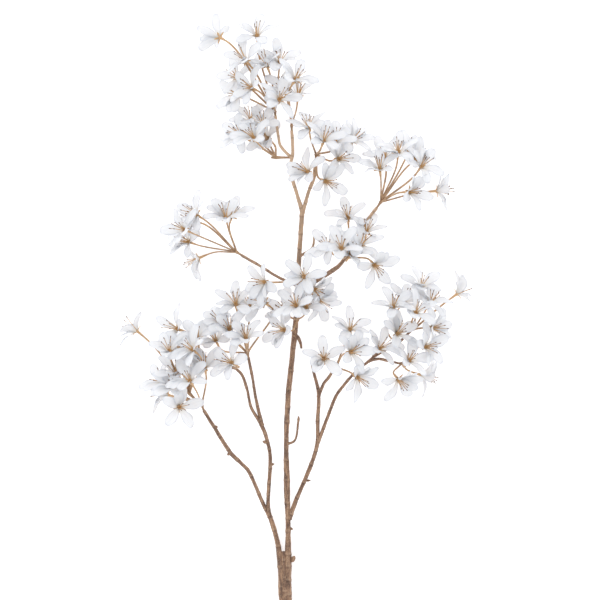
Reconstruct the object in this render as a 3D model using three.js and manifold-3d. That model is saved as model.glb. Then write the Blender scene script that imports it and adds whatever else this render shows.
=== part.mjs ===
// A cut spray of white cherry blossom, lying on its side on a table.
// Millimetres, +Z up. The flat picture of the spray lies in X and Y, stem end toward -Y,
// and the side that is looked at faces up.

import * as THREE from 'three';
import { mergeVertices } from 'three/addons/utils/BufferGeometryUtils.js';
import Module from 'manifold-3d';

// ---------------------------------------------------------------- driving dimensions

// Places in the layout below are read off a flat view: x to the right, y down, in steps of
// STEP mm at table height. The view is taken from VIEW_HEIGHT above the table, so a point
// that stands higher is drawn a little closer to the middle for the same reading.
const STEP = 1.25;
const VIEW_HEIGHT = 3000;
const VIEW_CENTRE_X = 300;
const VIEW_CENTRE_Y = 300;
const VIEW_OVER_X = 2.0;
const VIEW_OVER_Y = 20.9;

const GAP = 0.3;               // clearance between pieces of different colour

const PETALS = 5;
const PETAL_THICKNESS = 0.8;
const PETAL_ROOT_RADIUS = 3.9;      // corners where two petals meet
const PETAL_LENGTHS = [13.4, 11.6]; // root to widest place, widest place to tip
const PETAL_HALF_WIDTHS = [6.0, 3.7];
const PETAL_OPENING = [-10, 12];    // degrees added to a petal's opening along its length
const OPENING_MEAN = 64;            // degrees between a petal and the flower's axis
const OPENING_SPREAD = 17;
const LEAN_UP = 38;                 // degrees that a bloom entered as level is turned up
const LOW_BLOOM = 23;               // blooms lower than this, and hanging ones, lie as entered

const CALYX_LENGTH = 10.5;
const CALYX_TOP_RADIUS = 1.9;
const CALYX_FOOT_RADIUS = 1.0;
const PEDICEL_RADIUS = 0.85;
const CALYX_STANDS_PROUD = 1.0;
const STAMEN_LENGTH = 17;
const STAMEN_RADIUS = 0.55;
const STAMEN_LEAN = 17;             // degrees away from the flower's axis
const STAMENS = 3;
const HIDING_DISTANCE = 40;         // a bloom with another one above it within this is hidden
const HUB_RADIUS = 2.7;
const NECK_RADIUS = 1.25;
const NECK_TURN = 0.4;
const STRAIGHT_ENOUGH = 1.5;        // a stalk that bends less than this is made straight

// ---------------------------------------------------------------- woody stems

// Each stem is a list of [x, y, height, radius].
const STEMS = [
  // main stem
  { sides: 7, at: [
    [287.8, 612, 4.2, 4.4], [287.8, 600, 4.2, 4.4], [288.2, 560, 10, 3.7], [288, 525, 15.5, 3.1],
    [287, 489, 21, 3.4], [286.4, 440, 28, 2.9], [288, 398, 34, 3.1], [292, 360, 40, 3.1],
    [296, 320, 46, 3.2], [298.5, 268, 52.5, 2.8], [302.4, 209, 58, 2.6],
  ] },
  // the wrap that holds the left bough to the main stem
  { sides: 6, at: [[285, 612, 4.4, 4.0], [284.8, 584, 6.6, 4.0], [283.4, 551.5, 10, 3.3]] },
  // left bough, up to its fork
  { sides: 6, at: [
    [282.6, 612, 4.2, 4.4], [282.6, 600, 4.2, 4.4], [279.6, 556, 9.5, 3.3],
    [275.7, 534.5, 12, 2.8], [270, 516, 14.2, 2.7],
  ] },
  // lower left branch
  { sides: 5, at: [
    [270.4, 517.5, 14, 2.3], [262, 501, 16, 2.2], [249.7, 473, 21, 2.2], [240.5, 462.6, 23.5, 2.1],
    [229.8, 451.8, 27, 2.2], [214.5, 427.4, 33, 2.1], [203.8, 410.5, 38, 1.9],
  ] },
  // upper left branch and its two ends
  { sides: 5, at: [
    [270, 517.5, 14.2, 2.2], [268.1, 502.4, 17, 2.2], [270.3, 460, 26, 2.2], [267.3, 441, 31, 2.1],
    [261.2, 424.3, 36, 2.1], [251.2, 407.5, 40, 1.7], [247.4, 390.6, 44, 1.6], [242.6, 376, 48, 1.6],
    [237, 369.5, 51, 1.5],
  ] },
  { sides: 5, at: [
    [262, 425.5, 35.7, 1.9], [255.8, 398, 43, 1.7], [252.2, 376, 48, 1.6], [248.4, 357.5, 52, 1.6],
  ] },
  // right bough and its forks
  { sides: 5, at: [
    [289, 519, 17, 2.4], [297, 498, 21, 2.4], [308.3, 471.7, 26.5, 2.4], [316.8, 445.7, 32, 2.3],
    [317.7, 420, 38, 2.1], [318.6, 394, 44, 2.1], [314.2, 374, 49, 1.7], [311.5, 363.5, 52, 1.4],
  ] },
  { sides: 5, at: [
    [316.6, 446.5, 32, 2.0], [324.9, 424.3, 36.5, 1.9], [334.2, 399.8, 40, 1.9], [340, 390, 41.5, 1.8],
    [355, 372.5, 44, 1.6], [369, 361, 46, 1.5],
  ] },
  { sides: 4, at: [
    [318.4, 397, 43.5, 1.9], [323.2, 384.5, 47, 1.8], [328.4, 377.6, 50, 1.7], [332.6, 371.4, 53, 1.6],
  ] },
  // branch that crosses the middle to the upper right
  { sides: 5, at: [
    [297, 300, 49, 2.2], [312, 284.5, 53, 2.3], [331, 271.5, 57, 2.5], [341, 263.5, 58, 2.3],
    [352, 247, 57, 1.8], [365, 223.5, 53, 1.6], [376.5, 208, 50.5, 1.8],
  ] },
  // branch to the far left bunch
  { sides: 4, at: [
    [297.6, 286, 50, 1.7], [276, 276, 51.5, 1.5], [263, 267.8, 49.5, 1.5], [242, 255.4, 46, 1.6],
  ] },
  // top forks
  { sides: 5, at: [
    [302.4, 212, 57.5, 2.3], [292.6, 179.5, 60.5, 2.0], [289.8, 167.7, 61.5, 1.9],
    [292.8, 153, 62.3, 1.8], [291.8, 130.5, 63, 1.5],
  ] },
  { sides: 4, at: [
    [292.4, 158.5, 62, 1.6], [281, 146.5, 62.5, 1.5], [278.3, 136, 62, 1.5], [275.5, 116, 60.5, 1.5],
  ] },
  { sides: 4, at: [
    [302.4, 213, 57.5, 2.1], [308.5, 192, 59.5, 2.0], [314, 177, 61, 2.1], [315.8, 159, 63, 1.5],
  ] },
  // twig with a bud, low on the main stem, and a second one above the middle
  { sides: 4, at: [[287, 444, 27.5, 1.3], [295.4, 439.4, 30, 1.1], [298.4, 421, 32, 1.2]] },
  { sides: 4, at: [[300.4, 256, 53.5, 1.3], [312.4, 247, 56, 1.2], [314, 236, 57, 1.1]] },
  // stub that bends down beside the main stem
  { sides: 4, at: [
    [293.6, 334.5, 45, 2.3], [298, 337.8, 47, 2.1], [300.6, 343, 47.5, 1.6], [301.4, 348.5, 47, 1.2],
  ] },
  // short runs between the bunches on the right
  { sides: 4, at: [
    [368, 362, 46, 1.5], [373.5, 356.5, 46.5, 1.6], [380.5, 344, 50, 1.2], [384, 335.5, 53, 1.2],
  ] },
  { sides: 4, at: [
    [372.5, 357.5, 46.5, 1.4], [385, 350.5, 47, 1.3], [396.5, 345, 48, 1.4], [405, 336.5, 49, 1.4],
    [410.5, 331.5, 50, 1.5],
  ] },
  { sides: 4, at: [
    [370, 360.5, 46.2, 1.4], [379, 358.8, 45.5, 1.5], [387, 360.5, 44.5, 1.6], [397.5, 363, 43.5, 1.2],
  ] },
];

// Leaf scars, buds and knobs: [x, y, height, across, long, direction in the plane in degrees].
const KNOBS = [
  [293, 559, 10, 3.4, 9, 60], [229.5, 453.5, 26.6, 2.6, 7, 215], [215.4, 427.3, 32.6, 2.9, 6, 20],
  [265.2, 442.2, 31, 2.3, 7, 160], [295, 331, 45, 3.9, 10, 95],
  [308.0, 480.5, 24.4, 1.7, 7, 2], [272.2, 464.3, 25, 1.8, 6, 10], [290.9, 528.6, 15.2, 1.8, 6, -20],
  [298.5, 419.6, 32.2, 1.8, 9, 88], [314.1, 234.4, 57.1, 1.7, 12, 91],
];

// ---------------------------------------------------------------- bunches of blossom

// A bunch leaves the wood at `from` and fans out from `hub`, both [x, y, height]. One that has
// grown together with another bunch names it in `with`.
// A bloom is [x, y, height, direction it faces in the plane, lift of its face, turn], where the
// direction and the lift are in degrees (0 to the right, 90 up the view; lift 90 faces up).
const BUNCHES = [
  { name: 'crown', from: [275.5, 117, 60.5], hub: [275, 111.5, 60], blooms: [
    [220, 37.5, 60, 147, -44, 12], [257, 36, 68, 93, 6, 54], [246, 61, 80, 135, 12, 8],
    [280, 62.5, 58, 82, 25, 15], [267, 66, 62, 112, -8, 22], [252, 88, 80, 158, 18, 58],
    [279, 100, 92, 52, 35, 10], [238, 95, 28, 172, 60, 66],
  ] },
  { name: 'crown_right', from: [291.8, 131, 63], hub: [291.6, 125.5, 63], blooms: [
    [295, 80, 96, 55, 45, 20], [298, 96, 38, 84, -22, 21], [284.5, 91, 68, 108, 5, 62],
  ] },
  { name: 'crown_left', from: [292.5, 157.5, 62], hub: [276, 157.5, 60], blooms: [
    [251, 121, 30, 98, 14, 5], [254, 138, 78, 128, 12, 60], [242, 136, 44, 150, 5, 36],
    [263, 125, 56, 100, 28, 19], [268, 138.5, 38, 140, 20, 15],
  ] },
  { name: 'top_right', from: [315.8, 159.5, 63], hub: [316, 154.5, 63], blooms: [
    [309, 128, 86, 98, 4, 25], [323.5, 141, 102, 70, 20, 26], [335, 142.5, 68, 76, 18, 65],
    [351.5, 141.5, 38, 35, 14, 58], [338, 159, 58, 14, 25, 47], [325, 181, 76, -25, 50, 39],
    [308, 172, 78, 146, 6, 18],
  ] },
  { name: 'upper_right', from: [376.2, 208.5, 50.5], hub: [380.8, 202, 50], blooms: [
    [380, 170, 82, 97, -4, 43], [398, 153, 78, 88, 6, 40], [407.5, 154, 24, 66, -8, 66],
    [421, 167, 80, 55, 12, 37], [409, 192, 90, 0, 16, 52], [436.5, 191, 11, 4, 4, 6],
    [415, 160, 42, 40, 2, 64],
  ] },
  { name: 'far_left', from: [242.3, 255.6, 46], hub: [236.5, 252, 45.5], blooms: [
    [197, 215, 74, 148, 2, 29], [194, 221, 36, 165, 0, 48], [226, 218, 76, 100, 10, 1],
    [231.5, 217, 52, 72, 5, 32], [185, 230, 86, 157, 10, 8], [189, 242, 48, 161, 10, 36],
    [199, 258, 11, 203, 6, 0],
  ] },
  { name: 'middle', from: [298, 283, 51], hub: [299, 281, 60], blooms: [
    [265, 282, 86, 178, 12, 18], [304, 277, 96, 100, 65, 63], [318.5, 300, 66, -42, 6, 67],
  ] },
  { name: 'right', from: [346, 257, 57.5], hub: [347, 257.5, 65], blooms: [
    [348, 218.6, 52, 95, 12, 28], [329.5, 248.5, 80, 120, 28, 24], [341.5, 249, 112, 95, 30, 12],
    [350, 255, 90, 60, 48, 40], [366, 233, 60, 80, 8, 51], [361, 245, 82, 58, 20, 5],
    [374, 264.5, 90, -50, 50, 38],
  ] },
  { name: 'heart', from: [296, 320, 46], hub: [297.5, 320, 57], blooms: [
    [286, 312, 53, 130, 22, 16], [285, 330, 72, 172, 16, 71], [306, 308, 86, 78, 35, 1],
    [296, 306, 104, 110, 55, 6],
  ] },
  { name: 'lower_right', from: [332.3, 371.8, 53], hub: [336, 367, 55], blooms: [
    [324, 359, 88, 90, 70, 31], [350, 330, 74, 70, 22, 12], [350.5, 352, 90, 15, 55, 50],
    [357, 377, 76, -35, 32, 24],
  ] },
  { name: 'lower_right_inner', from: [383.7, 336, 53], hub: [386, 330.5, 54], blooms: [
    [393, 307, 86, 78, 6, 2], [402.5, 303, 52, 58, 4, 24], [397, 334, 76, 50, 30, 58],
  ] },
  { name: 'far_right', from: [410, 332, 50], hub: [414, 329, 51], blooms: [
    [415.5, 313, 82, 66, 12, 5], [430, 303, 54, 62, 12, 19], [421, 287, 44, 72, 10, 4],
    [457, 294, 20, 36, 2, 30], [431.5, 328, 66, 0, 6, 59],
  ] },
  { name: 'low_right', from: [397, 363, 43.5], hub: [401.5, 363.6, 43.5], blooms: [
    [409, 361, 84, 60, 52, 14], [398, 379, 58, -50, 12, 40], [421, 375, 11, -18, 4, 6],
  ] },
  { name: 'lower_left', from: [203.6, 410, 38], hub: [202, 405.5, 39.5], blooms: [
    [205, 368, 64, 97, 4, 15], [190, 381, 98, 120, 16, 36], [174.5, 387, 72, 112, 38, 68],
    [179, 407, 76, 0, 70, 23], [163, 382, 46, 135, 12, 44], [168, 395, 12, 165, 4, 0],
    [176, 374, 68, 100, 28, 4],
  ] },
  { name: 'left_edge', with: 'lower_left', from: [201.6, 405.3, 39.5], hub: [189.6, 393.7, 44.3], blooms: [
    [169.5, 351.5, 90, 96, 25, 17], [180, 351, 54, 82, 30, 64], [193, 350, 100, 138, 14, 32],
    [197.5, 338, 62, 98, 8, 6], [178, 329, 38, 160, 6, 45], [137, 331, 22, 140, 2, 24],
  ] },
  { name: 'left_inner', from: [248.6, 358, 52], hub: [247.6, 353.5, 53], blooms: [
    [246, 339, 92, 95, 16, 7], [236, 305, 58, 98, 4, 43], [222, 323, 52, 122, 6, 34],
    [230, 330, 72, 100, 34, 10], [216, 341, 32, 115, 8, 37], [265, 303, 66, 145, 2, 15],
    [249, 306, 36, 90, -12, 58],
  ] },
  { name: 'left_low', from: [237.3, 369.8, 51], hub: [233, 367.5, 53], blooms: [
    [232, 363, 86, 150, 45, 40], [201, 355, 22, 160, 10, 48],
  ] },
  { name: 'crown_side', with: 'crown', from: [275.5, 117, 60.5], hub: [275, 111.5, 60], blooms: [
    [238, 78, 46, 150, 62, 15],
  ] },
  { name: 'upper_side', with: 'upper_right', from: [376.2, 208.5, 50.5], hub: [380.8, 202, 50], blooms: [
    [385, 158, 28, 100, 8, 23],
  ] },
  { name: 'middle_side', with: 'middle', from: [298, 283, 51], hub: [299, 281, 60], blooms: [
    [314, 289, 76, -32, 36, 20],
  ] },
  { name: 'inner_side', with: 'lower_right_inner', from: [383.7, 336, 53], hub: [386, 330.5, 54], blooms: [
    [379, 349, 70, 40, 26, 4],
  ] },
  { name: 'low_right_side', with: 'low_right', from: [397, 363, 43.5], hub: [401.5, 363.6, 43.5], blooms: [
    [425, 347, 72, 4, 16, 12],
  ] },
];

// ---------------------------------------------------------------- materials

const barkMaterial = new THREE.MeshStandardMaterial({ color: 0x8a6247, roughness: 0.85, metalness: 0 });
const stalkMaterial = new THREE.MeshStandardMaterial({ color: 0xb98850, roughness: 0.6, metalness: 0 });
const petalMaterial = new THREE.MeshStandardMaterial({ color: 0xf3f3f7, roughness: 0.55, metalness: 0 });
barkMaterial.name = 'bark';
stalkMaterial.name = 'stalk';
petalMaterial.name = 'petal';

// ---------------------------------------------------------------- small helpers

const wasm = await Module();
wasm.setup();

const degrees = THREE.MathUtils.degToRad;

// A repeatable scatter between -1 and 1 for the j-th choice of the i-th thing.
function scatter(i, j) {
  const s = Math.sin(i * 12.9898 + j * 78.233) * 43758.5453;
  return (s - Math.floor(s)) * 2 - 1;
}

function place(x, y, height) {
  const scale = STEP * (1 - height / VIEW_HEIGHT);
  return new THREE.Vector3(
    (x - VIEW_CENTRE_X) * scale + VIEW_OVER_X,
    (VIEW_CENTRE_Y - y) * scale + VIEW_OVER_Y,
    height,
  );
}

// A closed geometry from a list of points and a list of corner triples.
function geometryOf(points, triples) {
  const geometry = new THREE.BufferGeometry();
  const numbers = points.flatMap((p) => [p.x, p.y, p.z]);
  geometry.setAttribute('position', new THREE.Float32BufferAttribute(numbers, 3));
  geometry.setIndex(triples.flat());
  return geometry;
}

function toSolid(geometry) {
  geometry.deleteAttribute('normal');
  geometry.deleteAttribute('uv');
  const welded = mergeVertices(geometry, 1e-4);
  return new wasm.Manifold(new wasm.Mesh({
    numProp: 3,
    vertProperties: Float32Array.from(welded.attributes.position.array),
    triVerts: Uint32Array.from(welded.index.array),
  }));
}

function toGeometry(solid) {
  const mesh = solid.getMesh();
  const geometry = new THREE.BufferGeometry();
  geometry.setAttribute('position', new THREE.BufferAttribute(Float32Array.from(mesh.vertProperties), 3));
  geometry.setIndex(new THREE.BufferAttribute(Uint32Array.from(mesh.triVerts), 1));
  geometry.computeVertexNormals();
  return geometry;
}

function joined(solids) {
  return solids.reduce((whole, next) => whole.add(next));
}

// One ring of corners round `at`, square to `along`, counter-clockwise seen from its far side.
function ring(at, along, toward, radius, sides, start = 0) {
  const t = along.clone().normalize();
  const x = toward.clone().addScaledVector(t, -toward.dot(t)).normalize();
  const y = t.clone().cross(x);
  const corners = [];
  for (let k = 0; k < sides; k += 1) {
    const angle = start + (k * 2 * Math.PI) / sides;
    const reach = x.clone().multiplyScalar(Math.cos(angle)).addScaledVector(y, Math.sin(angle));
    corners.push(at.clone().addScaledVector(reach, radius));
  }
  return corners;
}

// Triangles between neighbouring rings of `sides` corners, where ring i starts at firsts[i].
function wall(firsts, sides) {
  const triples = [];
  for (let i = 0; i + 1 < firsts.length; i += 1) {
    for (let k = 0; k < sides; k += 1) {
      const a = firsts[i] + k;
      const b = firsts[i] + ((k + 1) % sides);
      const c = firsts[i + 1] + ((k + 1) % sides);
      const d = firsts[i + 1] + k;
      triples.push([a, b, c], [a, c, d]);
    }
  }
  return triples;
}

function fan(first, sides, flip) {
  const triples = [];
  for (let k = 1; k + 1 < sides; k += 1) {
    triples.push(flip ? [first, first + k + 1, first + k] : [first, first + k, first + k + 1]);
  }
  return triples;
}

// The walls and both ends of a tube.
function tube(firsts, sides) {
  const last = firsts[firsts.length - 1];
  return [...wall(firsts, sides), ...fan(firsts[0], sides, true), ...fan(last, sides, false)];
}

// ---------------------------------------------------------------- wood

// A round stem through [x, y, height, radius] stations, made `extra` thicker all over.
function stemSolid(stations, sides, extra) {
  const middles = stations.map((s) => place(s[0], s[1], s[2]));
  const points = [];
  const firsts = [];
  const up = new THREE.Vector3(0, 0, 1);
  const grow = extra / Math.cos(Math.PI / sides);
  middles.forEach((middle, i) => {
    const before = middles[Math.max(i - 1, 0)];
    const after = middles[Math.min(i + 1, middles.length - 1)];
    const along = after.clone().sub(before).normalize();
    const at = middle.clone();
    if (i === 0) at.addScaledVector(along, -extra);
    if (i === middles.length - 1) at.addScaledVector(along, extra);
    firsts.push(points.length);
    points.push(...ring(at, along, up, stations[i][3] + grow, sides, Math.PI / sides));
  });
  for (const p of points) p.z = Math.max(p.z, 0);
  return toSolid(geometryOf(points, tube(firsts, sides)));
}

// A pointed swelling: a bud, a leaf scar or a knob.
function knobSolid([x, y, height, across, long, direction], extra) {
  const sides = 4;
  const up = new THREE.Vector3(0, 0, 1);
  const axis = new THREE.Vector3(Math.cos(degrees(direction)), Math.sin(degrees(direction)), 0);
  const middle = place(x, y, height);
  const half = long / 2 + extra;
  const points = [];
  const firsts = [];
  const profile = [[-0.62, 0.7], [0.1, 1.0], [0.78, 0.55]];
  for (const [reach, width] of profile) {
    firsts.push(points.length);
    const at = middle.clone().addScaledVector(axis, reach * half);
    points.push(...ring(at, axis, up, across * width + extra * 1.3, sides, Math.PI / sides));
  }
  for (const p of points) p.z = Math.max(p.z, 0);
  return toSolid(geometryOf(points, tube(firsts, sides)));
}

function wood(extra) {
  return joined([
    ...STEMS.map((stem) => stemSolid(stem.at, stem.sides, extra)),
    ...KNOBS.map((knob) => knobSolid(knob, extra)),
  ]);
}

// ---------------------------------------------------------------- blooms

// The middle of a bloom and its own directions: face is where it looks, side and across span it.
function bloomFrame(bloom) {
  const [x, y, height, direction, lift, turn] = bloom;
  const a = degrees(direction);
  const leans = lift < 45 && lift > -30 && height > LOW_BLOOM;
  const e = degrees(leans ? lift + LEAN_UP * (1 - lift / 60) : lift);
  return {
    middle: place(x, y, height),
    face: new THREE.Vector3(Math.cos(e) * Math.cos(a), Math.cos(e) * Math.sin(a), Math.sin(e)),
    side: new THREE.Vector3(-Math.sin(e) * Math.cos(a), -Math.sin(e) * Math.sin(a), Math.cos(e)),
    across: new THREE.Vector3(-Math.sin(a), Math.cos(a), 0),
    turn: degrees(turn),
  };
}

function spoke(frame, angle) {
  return frame.side.clone().multiplyScalar(Math.cos(angle)).addScaledVector(frame.across, Math.sin(angle));
}

// Where one petal runs: the points down its middle and the direction of each stretch. A petal
// that comes down to the table bends there and lies flat along it.
function petalCourse(frame, number, k) {
  const angle = frame.turn + (k * 2 * Math.PI) / PETALS;
  const out = spoke(frame, angle);
  const opening = OPENING_MEAN + OPENING_SPREAD * scatter(number, k);
  const longer = 1 + 0.07 * scatter(number, k + 10);
  const at = frame.middle.clone().addScaledVector(out, PETAL_ROOT_RADIUS * Math.cos(Math.PI / PETALS));
  const points = [at.clone()];
  const runs = [];
  PETAL_LENGTHS.forEach((length, i) => {
    const open = degrees(opening + PETAL_OPENING[i]);
    const run = frame.face.clone().multiplyScalar(Math.cos(open)).addScaledVector(out, Math.sin(open));
    const lowest = Math.min(0, (PETAL_THICKNESS / 2 - at.z) / (length * longer));
    if (run.z < lowest) {
      const keep = Math.sqrt(1 - lowest * lowest) / Math.hypot(run.x, run.y);
      run.set(run.x * keep, run.y * keep, lowest);
    }
    runs.push(run);
    at.addScaledVector(run, length * longer);
    points.push(at.clone());
  });
  const twist = degrees(14 * scatter(number, k + 20));
  return { angle, out, points, runs, twist };
}

// A bloom with another one close above it is mostly hidden.
function isBehind(frame) {
  return BUNCHES.some((bunch) => bunch.blooms.some((other) => {
    const above = bloomFrame(other).middle.sub(frame.middle);
    return above.z > 1 && Math.hypot(above.x, above.y) < HIDING_DISTANCE;
  }));
}

// The petal that points most nearly straight down, which a hidden bloom goes without.
function lowestPetal(frame) {
  const down = (k) => Math.cos(frame.turn + (k * 2 * Math.PI) / PETALS);
  return [1, 2, 3, 4].reduce((lowest, k) => (down(k) < down(lowest) ? k : lowest), 0);
}

// The white part of one bloom: five petals on a small collar with a three-cornered hole.
function corolla(bloom, number) {
  const frame = bloomFrame(bloom);
  const points = [];
  const triples = [];
  const half = PETAL_THICKNESS / 2;
  const add = (p, n, down) => {
    const q = p.clone();
    q.z = Math.max(q.z, half);
    const top = q.clone().addScaledVector(n, half);
    const under = q.clone().addScaledVector(n, -half);
    top.z = Math.max(top.z, under.z < 0 ? PETAL_THICKNESS : 0);
    under.z = Math.max(under.z, 0);
    points.push(top, under);
    return points.length - 2;
  };

  // collar: the corners where petals meet, and the corners of the hole
  const corners = [];
  const flatCorners = [];
  for (let k = 0; k < PETALS; k += 1) {
    const angle = frame.turn + ((k - 0.5) * 2 * Math.PI) / PETALS;
    const corner = frame.middle.clone().addScaledVector(spoke(frame, angle), PETAL_ROOT_RADIUS);
    corners.push(add(corner, frame.face));
    flatCorners.push(new THREE.Vector2(Math.cos(angle), Math.sin(angle)).multiplyScalar(PETAL_ROOT_RADIUS));
  }
  const holeRadius = CALYX_TOP_RADIUS + 2 * GAP + 0.15;
  const hole = [];
  const flatHole = [];
  for (let j = 0; j < 3; j += 1) {
    const angle = frame.turn + (j * 2 * Math.PI) / 3;
    hole.push(add(frame.middle.clone().addScaledVector(spoke(frame, angle), holeRadius), frame.face));
    flatHole.push(new THREE.Vector2(Math.cos(angle), Math.sin(angle)).multiplyScalar(holeRadius));
  }
  const all = [...corners, ...hole];
  const flatAll = [...flatCorners, ...flatHole];
  for (const [a, b, c] of THREE.ShapeUtils.triangulateShape(flatCorners, [flatHole])) {
    const turned = flatAll[b].clone().sub(flatAll[a]).cross(flatAll[c].clone().sub(flatAll[a])) > 0;
    const [p, q, r] = turned ? [all[a], all[c], all[b]] : [all[a], all[b], all[c]];
    triples.push([p, q, r], [p + 1, r + 1, q + 1]);
  }
  for (let j = 0; j < 3; j += 1) {
    const a = hole[j];
    const b = hole[(j + 1) % 3];
    triples.push([a, b + 1, b], [a, a + 1, b + 1]);
  }

  const missing = isBehind(frame) ? lowestPetal(frame) : -1;
  for (let k = 0; k < PETALS; k += 1) {
    const course = petalCourse(frame, number, k);
    const tangent = spoke(frame, course.angle + Math.PI / 2);
    let left = corners[k];
    let right = corners[(k + 1) % PETALS];
    const widths = k === missing ? [] : PETAL_HALF_WIDTHS;
    widths.forEach((width, i) => {
      const run = course.runs[i];
      const next = course.runs[Math.min(i + 1, course.runs.length - 1)];
      const along = run.clone().add(next).normalize();
      const wide = tangent.clone().addScaledVector(along, -tangent.dot(along)).normalize();
      wide.applyAxisAngle(along, course.twist * (i + 1) / widths.length);
      const normal = wide.clone().cross(along);
      const at = course.points[i + 1];
      if (at.z < half + 0.01) {
        const upward = Math.sign(normal.z);
        normal.set(0, 0, upward);
        wide.copy(along).setZ(0).normalize().cross(normal);
      }
      const newLeft = add(at.clone().addScaledVector(wide, -width), normal);
      const newRight = add(at.clone().addScaledVector(wide, width), normal);
      triples.push([left, right, newRight], [left, newRight, newLeft]);
      triples.push([left + 1, newRight + 1, right + 1], [left + 1, newLeft + 1, newRight + 1]);
      triples.push([left, newLeft, newLeft + 1], [left, newLeft + 1, left + 1]);
      triples.push([right, newRight + 1, newRight], [right, right + 1, newRight + 1]);
      left = newLeft;
      right = newRight;
    });
    triples.push([left, right, right + 1], [left, right + 1, left + 1]);
  }
  return toSolid(geometryOf(points, triples));
}

// The gold part of one bloom: its stalk from the hub, the slim calyx and three stamens.
function stalkSolid(bloom, number, hub, extra) {
  const frame = bloomFrame(bloom);
  const foot = frame.middle.clone().addScaledVector(frame.face, -CALYX_LENGTH);
  const reach = hub.distanceTo(foot);
  const root = hub.clone().addScaledVector(foot.clone().sub(hub).normalize(), 0.35 * HUB_RADIUS);
  const curve = new THREE.CubicBezierCurve3(
    root,
    hub.clone().lerp(foot, 0.38),
    foot.clone().addScaledVector(frame.face, -0.34 * reach),
    foot,
  );
  const stations = [{ at: root, along: curve.getTangent(0), radius: PEDICEL_RADIUS }];
  const half = curve.getPoint(0.5);
  if (half.distanceTo(root.clone().lerp(foot, 0.5)) > STRAIGHT_ENOUGH) {
    stations.push({ at: half, along: curve.getTangent(0.5), radius: PEDICEL_RADIUS });
  }
  stations.push({ at: foot, along: frame.face, radius: CALYX_FOOT_RADIUS });
  const mouth = frame.middle.clone().addScaledVector(frame.face, CALYX_STANDS_PROUD);
  stations.push({ at: mouth, along: frame.face, radius: CALYX_TOP_RADIUS });
  const grow = extra * 2;
  let toward = spoke(frame, frame.turn);
  const rings = stations.slice().reverse().map((s) => {
    toward = toward.clone().addScaledVector(s.along, -toward.dot(s.along)).normalize();
    return ring(s.at, s.along, toward, s.radius + grow, 3);
  }).reverse();
  const points = rings.flat();
  const firsts = rings.map((r, i) => i * 3);
  const triples = [...wall(firsts, 3), ...fan(0, 3, true)];

  // the mouth of the calyx is shared out between the stamens, each narrowing to a thread
  const mouthFirst = firsts[firsts.length - 1];
  const centre = points.length;
  points.push(mouth.clone());
  const hidden = isBehind(frame);
  if (hidden) triples.push([mouthFirst, mouthFirst + 1, centre], [mouthFirst + 1, mouthFirst + 2, centre]);
  for (let j = hidden ? 2 : 0; j < STAMENS; j += 1) {
    const a = mouthFirst + j;
    const b = mouthFirst + ((j + 1) % 3);
    const outward = points[a].clone().add(points[b]).multiplyScalar(0.5).sub(mouth).normalize();
    const lean = degrees(STAMEN_LEAN + 8 * scatter(number, 30 + j));
    const run = frame.face.clone().multiplyScalar(Math.cos(lean)).addScaledVector(outward, Math.sin(lean));
    const length = STAMEN_LENGTH * (1 + 0.15 * scatter(number, 40 + j)) + extra;
    const neck = mouth.clone().addScaledVector(outward, 0.5 * CALYX_TOP_RADIUS).addScaledVector(run, 3);
    const thin = ring(neck, run, outward.clone().negate(), STAMEN_RADIUS + grow, 3);
    const tip = neck.clone().addScaledVector(run, length - 3);
    tip.z = Math.max(tip.z, 0.5);
    const first = points.length;
    points.push(...thin, tip);
    const low = [centre, a, b];
    for (let k = 0; k < 3; k += 1) {
      const l = (k + 1) % 3;
      triples.push([low[k], low[l], first + l], [low[k], first + l, first + k]);
      triples.push([first + k, first + l, first + 3]);
    }
  }
  for (const p of points) p.z = Math.max(p.z, 0);
  return toSolid(geometryOf(points, triples));
}

// A bunch's stalks, grown together at the hub, with the short neck that joins the wood.
function bunchSolid(bunch, firstNumber, extra) {
  const hub = place(...bunch.hub);
  const from = place(...bunch.from);
  const along = hub.clone().sub(from);
  const parts = bunch.blooms.map((bloom, i) => stalkSolid(bloom, firstNumber + i, hub, extra));
  const up = new THREE.Vector3(0, 0, 1);
  const neckRadius = NECK_RADIUS + extra * 1.5;
  const neck = [from, hub].flatMap((at) => ring(at, along, up, neckRadius, 4, NECK_TURN));
  parts.push(toSolid(geometryOf(neck, tube([0, 4], 4))));
  const knot = new THREE.OctahedronGeometry(HUB_RADIUS + extra * 1.7, 0);
  parts.push(toSolid(knot.translate(hub.x, hub.y, hub.z)));
  return joined(parts);
}

// ---------------------------------------------------------------- put together

const blossom = new THREE.Group();
blossom.name = 'cherry_blossom_sprig';

function addPiece(name, solid, material) {
  const mesh = new THREE.Mesh(toGeometry(solid), material.clone());
  mesh.name = name;
  blossom.add(mesh);
}

// The largest piece of a solid that cutting may have split.
function mainPiece(solid) {
  return solid.decompose().reduce((best, next) => (next.volume() > best.volume() ? next : best));
}

addPiece('branch', mainPiece(wood(0)), barkMaterial);

const fatWood = wood(GAP);
let fatStalks = null;
let number = 0;
const corollas = [];
for (const bunch of BUNCHES) {
  bunch.firstNumber = number;
  bunch.blooms.forEach((bloom, i) => corollas.push(corolla(bloom, number + i)));
  number += bunch.blooms.length;
}
for (const bunch of BUNCHES.filter((b) => !b.with)) {
  // bunches that leave the wood at the same place are one body
  const together = BUNCHES.filter((b) => b === bunch || b.with === bunch.name);
  let stalks = joined(together.map((b) => bunchSolid(b, b.firstNumber, 0))).subtract(fatWood);
  if (fatStalks) stalks = stalks.subtract(fatStalks);
  addPiece(`stalks_${bunch.name}`, mainPiece(stalks), stalkMaterial);
  const fat = joined(together.map((b) => bunchSolid(b, b.firstNumber, GAP)));
  fatStalks = fatStalks ? fatStalks.add(fat) : fat;
}

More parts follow.
